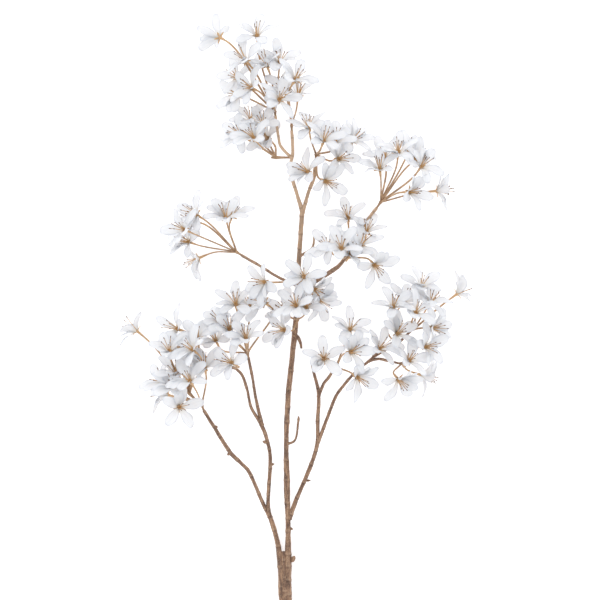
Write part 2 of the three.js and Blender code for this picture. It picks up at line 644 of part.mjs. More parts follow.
const SMALLEST_BLOOM = 400;   // cubic mm, less than one whole corolla
const blooms = joined(corollas).subtract(fatWood).subtract(fatStalks);
blooms.decompose()
  .filter((piece) => piece.volume() > SMALLEST_BLOOM)
  .forEach((piece, i) => addPiece(`blossom_${String(i + 1).padStart(2, '0')}`, piece, petalMaterial));

export default blossom;
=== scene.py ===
"""Looks of a cut spray of white cherry blossom, lying on a pale table."""

import math

import bpy
import numpy as np
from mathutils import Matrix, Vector, kdtree, noise


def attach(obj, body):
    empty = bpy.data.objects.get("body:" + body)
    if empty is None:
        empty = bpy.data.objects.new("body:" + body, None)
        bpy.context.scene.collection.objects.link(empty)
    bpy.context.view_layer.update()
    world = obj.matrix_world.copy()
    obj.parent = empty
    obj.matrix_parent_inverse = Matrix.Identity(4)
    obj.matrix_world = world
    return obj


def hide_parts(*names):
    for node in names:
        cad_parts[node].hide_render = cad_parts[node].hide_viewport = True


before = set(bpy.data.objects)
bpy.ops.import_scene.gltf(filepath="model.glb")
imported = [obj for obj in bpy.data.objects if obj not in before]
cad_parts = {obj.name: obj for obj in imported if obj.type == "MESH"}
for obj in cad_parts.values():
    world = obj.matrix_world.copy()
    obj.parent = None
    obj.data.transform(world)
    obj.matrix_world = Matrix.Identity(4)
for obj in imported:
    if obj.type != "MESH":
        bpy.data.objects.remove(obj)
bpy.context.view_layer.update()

# ---------------------------------------------------------------- driving dimensions

# Lengths are in millimetres and angles in degrees, unless a line says otherwise.
MM = 0.001
TAU = 2 * math.pi
UP = np.array([0.0, 0.0, 1.0])

# Places below are x to the right, y down and height, read off a flat view of the spray taken
# from VIEW_HEIGHT mm above the table, in steps of STEP mm at table height.
STEP = 1.25
VIEW_HEIGHT = 3000
VIEW_CENTRE = (300, 300)
VIEW_OVER = (2.0, 20.9)

PETALS = 5
PETAL_ROOT_RADIUS = 2.6
PETAL_LENGTH = 29.0
PETAL_LENGTH_SPREAD = 0.07    # share
PETAL_HALF_WIDTH = 6.7
PETAL_WIDTH_SPREAD = 0.14     # share
PETAL_ROOT_WIDTH = 0.22       # share of the half width at the petal's root
PETAL_THICKNESS = 0.3
PETAL_OPENING = (-21, 23)     # added to a petal's opening at its root and at its tip
OPENING_MEAN = 64             # between a petal and the flower's axis
OPENING_SPREAD = 17
PETAL_TWIST = 14
PETAL_CUP = (1.5, 1.0)        # how far the petal's sides rise, and its spread
PETAL_WAVE = (1.0, 0.5)       # how far its edge waves, and its spread
WAVES = 9.5                   # radians of that wave down the petal
WAVE_SLANT = 1.7              # radians by which it runs ahead at the side
WAVE_PHASE = 3.1              # radians, its spread from petal to petal
PETAL_TILT = 0.25             # spread of one side's rise against the other's
MIDRIB_DEPTH = 0.35
MIDRIB_WIDTH = 0.16           # share of the half width
PETAL_SEEDS = (7.0, 1.37)     # steps from flower to flower and from petal to petal
PETAL_ROWS = 12
PETAL_COLUMNS = 8
WIDEST_AT = 0.60              # share of a petal's length where it is widest

# small petals that stand up between two others
INNER_PETAL_RISE = 14
INNER_PETAL_LENGTH = 0.88     # share of an outer petal's length
INNER_PETAL_STRAY = 0.25      # radians

# flowers above LOW_BLOOM that face sideways are turned up by up to LEAN_UP
LEAN_UP = 38
LEAN_RANGE = (-30, 45)
LEAN_FADE = 60
LOW_BLOOM = 23

CALYX_LENGTH = 10.5
CALYX_RADIUS = 2.3
CALYX_FOOT_RADIUS = 1.05
SEPAL_LENGTH = 6.5
SEPAL_HALF_WIDTH = 1.45
SEPAL_THICKNESS = 0.34
SEPAL_CUP = 0.45
SEPAL_OPENING = 66
SEPAL_CURL = 7
SEPAL_SETBACK = (0.6, 0.35)   # behind the flower's middle, and in from the calyx's skin
SEPAL_ROWS = 5
SEPAL_COLUMNS = 4
PEDICEL_RADIUS = 1.1
PEDICEL_SPREAD = 0.16         # share
STALK_SIDES = 10
STALK_RING = 4                # between a stalk's rings
STALK_BENDS = (0.38, 0.34)    # shares of its reach over which a stalk leaves the hub and meets its flower
STALK_FOOT_SWELL = 0.2        # share by which it is thicker at its foot
HUB_RADIUS = 2.7
HUB_OFFSET = 0.2              # share of that radius at which a stalk starts
NECK_RADIUS = 1.3

STAMENS = (5, 8)
STAMEN_LENGTH = 19
STAMEN_RADIUS = 0.42
STAMEN_LEAN = (6, 21)
STAMEN_LENGTHS = (0.98, 0.20)    # mean share of that length, and its spread
STAMEN_PLACE_SPREAD = 0.3        # share of the way to the next one
STAMEN_ROOT = (0.45, 0.5)        # share of the calyx's radius, and how far behind the flower's middle
STAMEN_BENDS = (0.35, 0.3)
STAMEN_TAPER = (1.15, 0.35)
STAMEN_SIDES = 6
STAMEN_RINGS = 6
ANTHER_RADIUS = 0.56
ANTHER_LENGTH = 2.8
ANTHER_GAP = 0.4

BARK_RING = 1.0
BARK_SWELL = 1.05
STEM_SIDES = 22
KNOB_SIDES = 16
ROOT_FLARE = (0.35, 5.0)      # share by which a stem's root spreads, and over what length
FIRST_NODE = (11, 5)          # from the stem's foot, and its spread
LAST_NODE = 3                 # from the stem's end
NODE_SPACING = 22             # between the ringed nodes of a stem
NODE_SPREAD = 0.35            # share
NODE_SWELL = (0.09, 1.9)      # share by which a node is thicker, and over what length
NODE_RING = (0.9, 1.1)        # where its pale ring lies, and its width
NODE_PAINTED_SHADE = (1.5, 1.1)      # where the band of painted shade below its swell lies, and its width
RIDGE_SIZE = 0.16             # shares of the radius
LUMP_SIZE = 0.10
CRACK_SIZE = 0.20             # millimetres
WART_SIZE = 0.44
WART_FROM = 0.1               # level of the noise above which there is a wart
STEM_SEED = 3.7
KNOB_ROUGHNESS = 0.3
KNOB_WIDTH = 0.9              # share of the stated one
YOUNG_FROM = 30               # y in the frame where the wood starts to look young
YOUNG_OVER = 150

# Where a stalk, calyx and sepal start and how far they reach on the scale of colour that runs from
# the stalk's foot, 0, to the flower, 1.
STALK_ALONG = 0.62
CALYX_ALONG = (0.66, 0.3)
SEPAL_ALONG = (0.86, 0.1)

# Lowest heights at which the skin of each thing may lie.
PETAL_LINE_FLOOR = 0.7
PETAL_FLOOR = 0.25
STALK_FLOOR = 0.2
STAMEN_FLOOR = 0.9
ANTHER_FLOOR = 0.3
BARK_FLOOR = 0.1

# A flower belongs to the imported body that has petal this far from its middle, this near.
PETAL_SEARCH_RADIUS = 3.9
PETAL_SEARCH_REACH = 1.2
PETAL_SEARCH_ANGLES = (math.pi / 5, math.pi * 3 / 5, math.pi)

# Which scatter of a flower each choice reads. Those of a petal or a stamen add its number.
DRAW_OPENING = 0
DRAW_LENGTH = 10
DRAW_TWIST = 20
DRAW_CUP = 50
DRAW_WAVE = 60
DRAW_PHASE = 70
DRAW_TILT = 80
DRAW_WIDTH = 90
DRAW_STAMENS = 100
DRAW_STAMEN_PLACE = 110
DRAW_STAMEN_LEAN = 120
DRAW_STAMEN_LENGTH = 130
DRAW_INNER_PLACE = 200
DRAW_INNER_COUNT = 210
DRAW_STALK = 220

# ---------------------------------------------------------------- colours

PETAL_VEIN = (0.805, 0.820, 0.855)
PETAL_FIELD = (0.895, 0.905, 0.925)
PETAL_CLOUD = (0.820, 0.836, 0.875)
PETAL_EDGE = (0.680, 0.710, 0.780)
PETAL_ROOT = (0.80, 0.78, 0.71)

STALK_FOOT = (0.48, 0.300, 0.175)
STALK_MIDDLE = (0.62, 0.400, 0.230)
STALK_CALYX = (0.73, 0.470, 0.255)
STALK_MOUTH = (0.84, 0.550, 0.280)
STALK_SPECK = (0.36, 0.200, 0.105)
STALK_SHADE = (0.16, 0.098, 0.062)
STALK_GLOW = (0.82, 0.58, 0.36)

STAMEN_FOOT = (0.78, 0.47, 0.20)
STAMEN_MIDDLE = (0.62, 0.36, 0.15)
STAMEN_TIP = (0.34, 0.17, 0.07)
STAMEN_SPECK = (0.82, 0.58, 0.32)
ANTHER_DARK = (0.075, 0.034, 0.016)
ANTHER_PALE = (0.24, 0.115, 0.042)

BARK_DARKEST = (0.070, 0.035, 0.022)
BARK_DARK = (0.200, 0.112, 0.072)
BARK_WARM = (0.390, 0.220, 0.130)
BARK_PALE = (0.660, 0.420, 0.255)
BARK_PATCH_PALE = (0.45, 0.280, 0.175)
BARK_PATCH_DARK = (0.100, 0.052, 0.034)
BARK_BLOTCH = (0.30, 0.180, 0.112)
BARK_GRIT_DARK = (0.05, 0.026, 0.018)
BARK_GRIT_PALE = (0.78, 0.53, 0.34)
BARK_YOUNG = (0.76, 0.54, 0.36)
BARK_NODE = (0.56, 0.40, 0.28)
# BARK_NODE_SHADE is painted shade, a dark band below each node's swell
BARK_NODE_SHADE = (0.060, 0.030, 0.020)

FLOOR_TONES = ((0.93, 0.93, 0.935), (0.95, 0.95, 0.955))
FLOOR_GLOW = (1.0, 1.0, 1.0, 1.0)
FLOOR_GLOW_STRENGTH = 0.45
SKY = (0.97, 0.98, 1.0, 1.0)
SKY_STRENGTH = 0.88

# Table, lamps and camera, in metres and watts (a lamp is its place, width and power), but with
# the lens and the sensor in millimetres.
TABLE_SIZE = 8.0
AIM = (0, 0, 0.05)
KEY_LAMP = ((-1.6, 2.6, 3.6), 1.8, 33)
FILL_LAMP = ((2.2, -1.2, 3.0), 2.5, 6)
LENS = 144
SENSOR = 36

# ---------------------------------------------------------------- layout

# Woody stems: [(x, y, height, radius), ...].
STEMS = [
    # main stem
    [
        (287.8, 612, 4.2, 4.4), (287.8, 600, 4.2, 4.4), (288.2, 560, 10, 3.7), (288, 525, 15.5, 3.1),
        (287, 489, 21, 3.4), (286.4, 440, 28, 2.9), (288, 398, 34, 3.1), (292, 360, 40, 3.1),
        (296, 320, 46, 3.2), (298.5, 268, 52.5, 2.8), (302.4, 209, 58, 2.6),
    ],
    # the wrap that holds the left bough to the main stem
    [(285, 612, 4.4, 4.0), (284.8, 584, 6.6, 4.0), (283.4, 551.5, 10, 3.3)],
    # left bough, up to its fork
    [
        (282.6, 612, 4.2, 4.4), (282.6, 600, 4.2, 4.4), (279.6, 556, 9.5, 3.3),
        (275.7, 534.5, 12, 2.8), (270, 516, 14.2, 2.7),
    ],
    # lower left branch
    [
        (270.4, 517.5, 14, 2.3), (262, 501, 16, 2.2), (249.7, 473, 21, 2.2), (240.5, 462.6, 23.5, 2.1),
        (229.8, 451.8, 27, 2.2), (214.5, 427.4, 33, 2.1), (203.8, 410.5, 38, 1.9),
    ],
    # upper left branch and its two ends
    [
        (270, 517.5, 14.2, 2.2), (268.1, 502.4, 17, 2.2), (270.3, 460, 26, 2.2), (267.3, 441, 31, 2.1),
        (261.2, 424.3, 36, 2.1), (251.2, 407.5, 40, 1.7), (247.4, 390.6, 44, 1.6), (242.6, 376, 48, 1.6),
        (237, 369.5, 51, 1.5),
    ],
    [
        (262, 425.5, 35.7, 1.9), (255.8, 398, 43, 1.7), (252.2, 376, 48, 1.6), (248.4, 357.5, 52, 1.6),
    ],
    # right bough and its forks
    [
        (289, 519, 17, 2.4), (297, 498, 21, 2.4), (308.3, 471.7, 26.5, 2.4), (316.8, 445.7, 32, 2.3),
        (317.7, 420, 38, 2.1), (318.6, 394, 44, 2.1), (314.2, 374, 49, 1.7), (311.5, 363.5, 52, 1.4),
    ],
    [
        (316.6, 446.5, 32, 2.0), (324.9, 424.3, 36.5, 1.9), (334.2, 399.8, 40, 1.9), (340, 390, 41.5, 1.8),
        (355, 372.5, 44, 1.6), (369, 361, 46, 1.5),
    ],
    [
        (318.4, 397, 43.5, 1.9), (323.2, 384.5, 47, 1.8), (328.4, 377.6, 50, 1.7), (332.6, 371.4, 53, 1.6),
    ],
    # branch that crosses the middle to the upper right
    [
        (297, 300, 49, 2.2), (312, 284.5, 53, 2.3), (331, 271.5, 57, 2.5), (341, 263.5, 58, 2.3),
        (352, 247, 57, 1.8), (365, 223.5, 53, 1.6), (376.5, 208, 50.5, 1.8),
    ],
    # branch to the far left bunch
    [
        (297.6, 286, 50, 1.7), (276, 276, 51.5, 1.5), (263, 267.8, 49.5, 1.5), (242, 255.4, 46, 1.6),
    ],
    # top forks
    [
        (302.4, 212, 57.5, 2.3), (292.6, 179.5, 60.5, 2.0), (289.8, 167.7, 61.5, 1.9),
        (292.8, 153, 62.3, 1.8), (291.8, 130.5, 63, 1.5),
    ],
    [
        (292.4, 158.5, 62, 1.6), (281, 146.5, 62.5, 1.5), (278.3, 136, 62, 1.5), (275.5, 116, 60.5, 1.5),
    ],
    [
        (302.4, 213, 57.5, 2.1), (308.5, 192, 59.5, 2.0), (314, 177, 61, 2.1), (315.8, 159, 63, 1.5),
    ],
    # twig with a bud, low on the main stem, and a second one above the middle
    [(287, 444, 27.5, 1.3), (295.4, 439.4, 30, 1.1), (298.4, 421, 32, 1.2)],
    [(300.4, 256, 53.5, 1.3), (312.4, 247, 56, 1.2), (314, 236, 57, 1.1)],
    # stub that bends down beside the main stem
    [
        (293.6, 334.5, 45, 2.3), (298, 337.8, 47, 2.1), (300.6, 343, 47.5, 1.6), (301.4, 348.5, 47, 1.2),
    ],
    # short runs between the bunches on the right
    [
        (368, 362, 46, 1.5), (373.5, 356.5, 46.5, 1.6), (380.5, 344, 50, 1.2), (384, 335.5, 53, 1.2),
    ],
    [
        (372.5, 357.5, 46.5, 1.4), (385, 350.5, 47, 1.3), (396.5, 345, 48, 1.4), (405, 336.5, 49, 1.4),
        (410.5, 331.5, 50, 1.5),
    ],
    [
        (370, 360.5, 46.2, 1.4), (379, 358.8, 45.5, 1.5), (387, 360.5, 44.5, 1.6), (397.5, 363, 43.5, 1.2),
    ],
]

# Leaf scars, buds and knobs: (x, y, height, across, long, direction in the plane in degrees).
KNOBS = [
    (293, 559, 10, 3.4, 9, 60), (229.5, 453.5, 26.6, 2.6, 7, 215), (215.4, 427.3, 32.6, 2.9, 6, 20),
    (265.2, 442.2, 31, 2.3, 7, 160), (295, 331, 45, 3.9, 10, 95),
    (308.0, 480.5, 24.4, 1.7, 7, 2), (272.2, 464.3, 25, 1.8, 6, 10), (290.9, 528.6, 15.2, 1.8, 6, -20),
    (298.5, 419.6, 32.2, 1.8, 9, 88), (314.1, 234.4, 57.1, 1.7, 12, 91),
]

# Bunches of blossom: name, the bunch whose stalks it has grown together with, where it leaves the
# wood, the hub it fans out from, and its blooms as (x, y, height, direction it faces in the plane,
# lift of its face, turn).
BUNCHES = [
    ('crown', 'crown', (275.5, 117, 60.5), (275, 111.5, 60), [
        (220, 37.5, 60, 147, -44, 12), (257, 36, 68, 93, 6, 54), (246, 61, 80, 135, 12, 8),
        (280, 62.5, 58, 82, 25, 15), (267, 66, 62, 112, -8, 22), (252, 88, 80, 158, 18, 58),
        (279, 100, 92, 52, 35, 10), (238, 95, 28, 172, 60, 66),
    ]),
    ('crown_right', 'crown_right', (291.8, 131, 63), (291.6, 125.5, 63), [
        (295, 80, 96, 55, 45, 20), (298, 96, 38, 84, -22, 21), (284.5, 91, 68, 108, 5, 62),
    ]),
    ('crown_left', 'crown_left', (292.5, 157.5, 62), (276, 157.5, 60), [
        (251, 121, 30, 98, 14, 5), (254, 138, 78, 128, 12, 60), (242, 136, 44, 150, 5, 36),
        (263, 125, 56, 100, 28, 19), (268, 138.5, 38, 140, 20, 15),
    ]),
    ('top_right', 'top_right', (315.8, 159.5, 63), (316, 154.5, 63), [
        (309, 128, 86, 98, 4, 25), (323.5, 141, 102, 70, 20, 26), (335, 142.5, 68, 76, 18, 65),
        (351.5, 141.5, 38, 35, 14, 58), (338, 159, 58, 14, 25, 47), (325, 181, 76, -25, 50, 39),
        (308, 172, 78, 146, 6, 18),
    ]),
    ('upper_right', 'upper_right', (376.2, 208.5, 50.5), (380.8, 202, 50), [
        (380, 170, 82, 97, -4, 43), (398, 153, 78, 88, 6, 40), (407.5, 154, 24, 66, -8, 66),
        (421, 167, 80, 55, 12, 37), (409, 192, 90, 0, 16, 52), (436.5, 191, 11, 4, 4, 6),
        (415, 160, 42, 40, 2, 64),
    ]),
    ('far_left', 'far_left', (242.3, 255.6, 46), (236.5, 252, 45.5), [
        (197, 215, 74, 148, 2, 29), (194, 221, 36, 165, 0, 48), (226, 218, 76, 100, 10, 1),
        (231.5, 217, 52, 72, 5, 32), (185, 230, 86, 157, 10, 8), (189, 242, 48, 161, 10, 36),
        (199, 258, 11, 203, 6, 0),
    ]),
    ('middle', 'middle', (298, 283, 51), (299, 281, 60), [
        (265, 282, 86, 178, 12, 18), (304, 277, 96, 100, 65, 63), (318.5, 300, 66, -42, 6, 67),
    ]),
    ('right', 'right', (346, 257, 57.5), (347, 257.5, 65), [
        (348, 218.6, 52, 95, 12, 28), (329.5, 248.5, 80, 120, 28, 24), (341.5, 249, 112, 95, 30, 12),
        (350, 255, 90, 60, 48, 40), (366, 233, 60, 80, 8, 51), (361, 245, 82, 58, 20, 5),
        (374, 264.5, 90, -50, 50, 38),
    ]),
    ('heart', 'heart', (296, 320, 46), (297.5, 320, 57), [
        (286, 312, 53, 130, 22, 16), (285, 330, 72, 172, 16, 71), (306, 308, 86, 78, 35, 1),
        (296, 306, 104, 110, 55, 6),
    ]),
    ('lower_right', 'lower_right', (332.3, 371.8, 53), (336, 367, 55), [
        (324, 359, 88, 90, 70, 31), (350, 330, 74, 70, 22, 12), (350.5, 352, 90, 15, 55, 50),
        (357, 377, 76, -35, 32, 24),
    ]),
    ('lower_right_inner', 'lower_right_inner', (383.7, 336, 53), (386, 330.5, 54), [
        (393, 307, 86, 78, 6, 2), (402.5, 303, 52, 58, 4, 24), (397, 334, 76, 50, 30, 58),
    ]),
    ('far_right', 'far_right', (410, 332, 50), (414, 329, 51), [
        (415.5, 313, 82, 66, 12, 5), (430, 303, 54, 62, 12, 19), (421, 287, 44, 72, 10, 4),
        (457, 294, 20, 36, 2, 30), (431.5, 328, 66, 0, 6, 59),
    ]),
    ('low_right', 'low_right', (397, 363, 43.5), (401.5, 363.6, 43.5), [
        (409, 361, 84, 60, 52, 14), (398, 379, 58, -50, 12, 40), (421, 375, 11, -18, 4, 6),
    ]),
    ('lower_left', 'lower_left', (203.6, 410, 38), (202, 405.5, 39.5), [
        (205, 368, 64, 97, 4, 15), (190, 381, 98, 120, 16, 36), (174.5, 387, 72, 112, 38, 68),
        (179, 407, 76, 0, 70, 23), (163, 382, 46, 135, 12, 44), (168, 395, 12, 165, 4, 0),
        (176, 374, 68, 100, 28, 4),
    ]),
    ('left_edge', 'lower_left', (201.6, 405.3, 39.5), (189.6, 393.7, 44.3), [
        (169.5, 351.5, 90, 96, 25, 17), (180, 351, 54, 82, 30, 64), (193, 350, 100, 138, 14, 32),
        (197.5, 338, 62, 98, 8, 6), (178, 329, 38, 160, 6, 45), (137, 331, 22, 140, 2, 24),
    ]),
    ('left_inner', 'left_inner', (248.6, 358, 52), (247.6, 353.5, 53), [
        (246, 339, 92, 95, 16, 7), (236, 305, 58, 98, 4, 43), (222, 323, 52, 122, 6, 34),
        (230, 330, 72, 100, 34, 10), (216, 341, 32, 115, 8, 37), (265, 303, 66, 145, 2, 15),
        (249, 306, 36, 90, -12, 58),
    ]),
    ('left_low', 'left_low', (237.3, 369.8, 51), (233, 367.5, 53), [
        (232, 363, 86, 150, 45, 40), (201, 355, 22, 160, 10, 48),
    ]),
    ('crown_side', 'crown', (275.5, 117, 60.5), (275, 111.5, 60), [
        (238, 78, 46, 150, 62, 15),
    ]),
    ('upper_side', 'upper_right', (376.2, 208.5, 50.5), (380.8, 202, 50), [
        (385, 158, 28, 100, 8, 23),
    ]),
    ('middle_side', 'middle', (298, 283, 51), (299, 281, 60), [
        (314, 289, 76, -32, 36, 20),
    ]),
    ('inner_side', 'lower_right_inner', (383.7, 336, 53), (386, 330.5, 54), [
        (379, 349, 70, 40, 26, 4),
    ]),
    ('low_right_side', 'low_right', (397, 363, 43.5), (401.5, 363.6, 43.5), [
        (425, 347, 72, 4, 16, 12),
    ]),
]

# Outlines of turned shapes: (share of the length, radius). The calyx's radii are in millimetres,
# and the others' are shares of the stated radius.
CALYX_PROFILE = [
    (0.10, 1.25), (0.3, 1.42), (0.55, 1.55), (0.75, 1.62), (0.92, 1.95), (1.0, CALYX_RADIUS),
    (1.13, CALYX_RADIUS + 0.25), (1.19, CALYX_RADIUS + 0.1), (1.17, CALYX_RADIUS - 0.35),
    (1.02, CALYX_RADIUS - 0.8),
]
NECK_PROFILE = [(0, 1.15), (0.35, 1.0), (0.7, 1.25), (1.0, 1.75), (1.3, 0.9)]
NECK_ALONG = [0, 0, 0.02, 0.05, 0.1]    # on the stalk's scale of colour
ANTHER_PROFILE = [(-0.5, 0.35), (-0.32, 0.85), (0.0, 1.0), (0.32, 0.85), (0.5, 0.35)]
KNOB_PROFILE = [
    (-1.0, 0.2), (-0.85, 0.55), (-0.6, 0.8), (-0.3, 0.95), (0.0, 1.0), (0.3, 0.92), (0.6, 0.7),
    (0.85, 0.42), (1.0, 0.15),
]


# ---------------------------------------------------------------- small helpers

def place(x, y, height):
    """A reading of the flat view, in millimetres in the frame."""
    scale = STEP * (1 - height / VIEW_HEIGHT)
    return np.array([
        (x - VIEW_CENTRE[0]) * scale + VIEW_OVER[0],
        (VIEW_CENTRE[1] - y) * scale + VIEW_OVER[1],
        height,
    ])


def scatter(i, j):
    """A repeatable scatter between -1 and 1 for the j-th choice of the i-th thing."""
    s = math.sin(i * 12.9898 + j * 78.233) * 43758.5453
    return (s - math.floor(s)) * 2 - 1


def unit(v):
    return v / math.sqrt(v[0] * v[0] + v[1] * v[1] + v[2] * v[2])


def cross(a, b):
    return np.array([a[1] * b[2] - a[2] * b[1], a[2] * b[0] - a[0] * b[2], a[0] * b[1] - a[1] * b[0]])


def square_to(v, along):
    return unit(v - along * np.dot(v, along))


def turned(v, axis, angle):
    """v turned about a unit axis."""
    held = axis * np.dot(axis, v) * (1 - math.cos(angle))
    return v * math.cos(angle) + cross(axis, v) * math.sin(angle) + held


def bezier(a, b, c, d, t):
    t = np.asarray(t)[:, None]
    return (1 - t) ** 3 * a + 3 * (1 - t) ** 2 * t * b + 3 * (1 - t) * t ** 2 * c + t ** 3 * d


def bell(x, width):
    return math.exp(-(x / width) ** 2)


def keep_above(points, floor):
    for p in points:
        p[2] = max(p[2], floor)


class Patchwork:
    """Points, faces and per-point values gathered into one mesh."""

    def __init__(self, *names):
        self.points = []
        self.faces = []
        self.slots = []
        self.values = {name: [] for name in names}

    def add(self, points, faces, slot=0, **values):
        first = len(self.points)
        self.points.extend(points)
        self.faces.extend([tuple(first + i for i in face) for face in faces])
        self.slots.extend([slot] * len(faces))
        for name, held in self.values.items():
            given = np.broadcast_to(np.asarray(values[name], float), (len(points),))
            held.extend(given)

    def build(self, name, materials):
        mesh = bpy.data.meshes.new(name)
        mesh.from_pydata([tuple(p * MM) for p in self.points], [], self.faces)
        mesh.polygons.foreach_set("material_index", self.slots)
        mesh.polygons.foreach_set("use_smooth", [True] * len(self.faces))
        for key, held in self.values.items():
            layer = mesh.attributes.new(key, "FLOAT", "POINT")
            layer.data.foreach_set("value", held)
        for material in materials:
            mesh.materials.append(material)
        mesh.update()
        piece = bpy.data.objects.new(name, mesh)
        bpy.context.scene.collection.objects.link(piece)
        return piece


def tube_faces(rings, sides):
    """Faces of a tube with closed ends."""
    faces = []
    for i in range(rings - 1):
        for k in range(sides):
            l = (k + 1) % sides
            faces.append((i * sides + k, i * sides + l, (i + 1) * sides + l, (i + 1) * sides + k))
    faces.append(tuple(reversed(range(sides))))
    faces.append(tuple((rings - 1) * sides + k for k in range(sides)))
    return faces


def path_runs(path):
    """The direction of a path at each of its points."""
    last = len(path) - 1
    return [unit(path[min(i + 1, last)] - path[max(i - 1, 0)]) for i in range(len(path))]


def tube_points(path, radii, sides, toward=UP, runs=None):
    """Rings of corners along a path, kept from twisting."""
    points = []
    for at, radius, along in zip(path, radii, runs or path_runs(path)):
        toward = square_to(toward, along)
        other = cross(along, toward)
        for k in range(sides):
            angle = TAU * k / sides
            points.append(at + radius * (toward * math.cos(angle) + other * math.sin(angle)))
    return points


def sheet_faces(rows, columns):
    """Faces of a thin closed sheet: its upper points row by row, then its lower ones, and the rim."""
    wide = columns + 1
    total = (rows + 1) * wide
    faces = []
    for i in range(rows):
        for j in range(columns):
            a = i * wide + j
            b, c, d = a + 1, a + 1 + wide, a + wide
            faces.append((a, b, c, d))
            faces.append((total + a, total + d, total + c, total + b))
    rim = list(range(wide))
    rim += [i * wide + columns for i in range(1, rows + 1)]
    rim += [rows * wide + j for j in range(columns - 1, -1, -1)]
    rim += [i * wide for i in range(rows - 1, 0, -1)]
    for a, b in zip(rim, rim[1:] + rim[:1]):
        faces.append((b, a, total + a, total + b))
    return faces


# ---------------------------------------------------------------- materials

# The points carry these values: along, from 0 at the foot to 1 at the end of a petal, stalk or
# stamen, and in millimetres down a stem; across, from -1 to 1 over a petal; around, over a stem's
# skin; ring, 1 on a stem's nodes and -1 on the painted shade below them; young, from 0 to 1; and seed.

class Nodes:
    """A short way to write a node material."""

    def __init__(self, name):
        self.material = bpy.data.materials.new(name)
        self.material.use_nodes = True
        self.tree = self.material.node_tree
        self.shader = self.tree.nodes["Principled BSDF"]

    def node(self, kind, inputs=None, **settings):
        n = self.tree.nodes.new(kind)
        for key, value in settings.items():
            setattr(n, key, value)
        for key, value in (inputs or {}).items():
            self.put(n.inputs[key], value)
        return n

    def put(self, socket, value):
        if isinstance(value, bpy.types.NodeSocket):
            self.tree.links.new(value, socket)
        else:
            socket.default_value = value

    def attribute(self, name):
        return self.node("ShaderNodeAttribute", attribute_name=name).outputs["Fac"]

    def position(self):
        return self.node("ShaderNodeTexCoord").outputs["Object"]

    def math(self, operation, a, b=0.0):
        n = self.node("ShaderNodeMath", operation=operation)
        self.put(n.inputs[0], a)
        self.put(n.inputs[1], b)
        return n.outputs[0]

    def times(self, a, b):
        return self.math("MULTIPLY", a, b)

    def linear(self, value, slope, start):
        """start + slope * value"""
        return self.math("ADD", self.times(value, slope), start)

    def noise(self, vector, scale, detail=3.0, roughness=0.55):
        n = self.node("ShaderNodeTexNoise", {"Scale": scale, "Detail": detail, "Roughness": roughness})
        self.put(n.inputs["Vector"], vector)
        return n.outputs["Fac"]

    def combine(self, x, y, z):
        return self.node("ShaderNodeCombineXYZ", {"X": x, "Y": y, "Z": z}).outputs[0]

    def ramp(self, value, *stops):
        """Colours at stops of a value: (stop, colour), ..."""
        n = self.node("ShaderNodeValToRGB", {"Fac": value})
        elements = n.color_ramp.elements
        while len(elements) < len(stops):
            elements.new(0.5)
        for element, (at, colour) in zip(elements, stops):
            element.position = at
            element.color = (*colour, 1.0)
        return n.outputs["Color"]

    def fade(self, value, *stops):
        """Greys at stops of a value: (stop, level), ..."""
        return self.ramp(value, *[(at, (level, level, level)) for at, level in stops])

    def mix(self, factor, a, b):
        n = self.node("ShaderNodeMix", data_type="RGBA", blend_type="MIX")
        self.put(n.inputs[0], factor)
        for socket, value in ((n.inputs[6], a), (n.inputs[7], b)):
            self.put(socket, (*value, 1.0) if isinstance(value, tuple) else value)
        return n.outputs[2]

    def bump(self, height, strength, distance, normal=None):
        n = self.node("ShaderNodeBump", {"Strength": strength, "Distance": distance, "Height": height})
        if normal is not None:
            self.put(n.inputs["Normal"], normal)
        return n.outputs["Normal"]

    def finish(self, **sockets):
        for key, value in sockets.items():
            self.put(self.shader.inputs[key.replace("_", " ")], value)
        return self.material


def petal_material():
    """White cloth with fine lengthwise veins, cooler at its edge and warmer at its root."""
    m = Nodes("petal_white")
    along, across, seed = m.attribute("along"), m.attribute("across"), m.attribute("seed")
    veins = m.noise(m.combine(m.times(across, 9.0), m.times(along, 1.1), seed), 1.6, 3.0)
    cloud = m.noise(m.combine(m.times(across, 1.1), m.times(along, 1.8), seed), 1.3, 2.0)
    tone = m.ramp(veins, (0.3, PETAL_VEIN), (0.62, PETAL_FIELD))
    tone = m.mix(m.times(cloud, 0.45), tone, PETAL_CLOUD)
    edge = m.math("MAXIMUM", m.math("ABSOLUTE", across), m.math("POWER", along, 3.0))
    tone = m.mix(m.fade(edge, (0.62, 0.0), (1.0, 0.75)), tone, PETAL_EDGE)
    tone = m.mix(m.fade(along, (0.0, 1.0), (0.30, 0.0)), tone, PETAL_ROOT)
    weave = m.noise(m.position(), 1500.0, 2.0)
    normal = m.bump(weave, 0.12, 0.0002)
    normal = m.bump(veins, 0.35, 0.0006, normal)
    return m.finish(
        Base_Color=tone, Roughness=m.linear(weave, 0.2, 0.5), Normal=normal, Specular_IOR_Level=0.25,
        Subsurface_Weight=0.75, Subsurface_Radius=(1.0, 0.95, 0.9), Subsurface_Scale=0.0012,
        Sheen_Weight=0.08,
    )


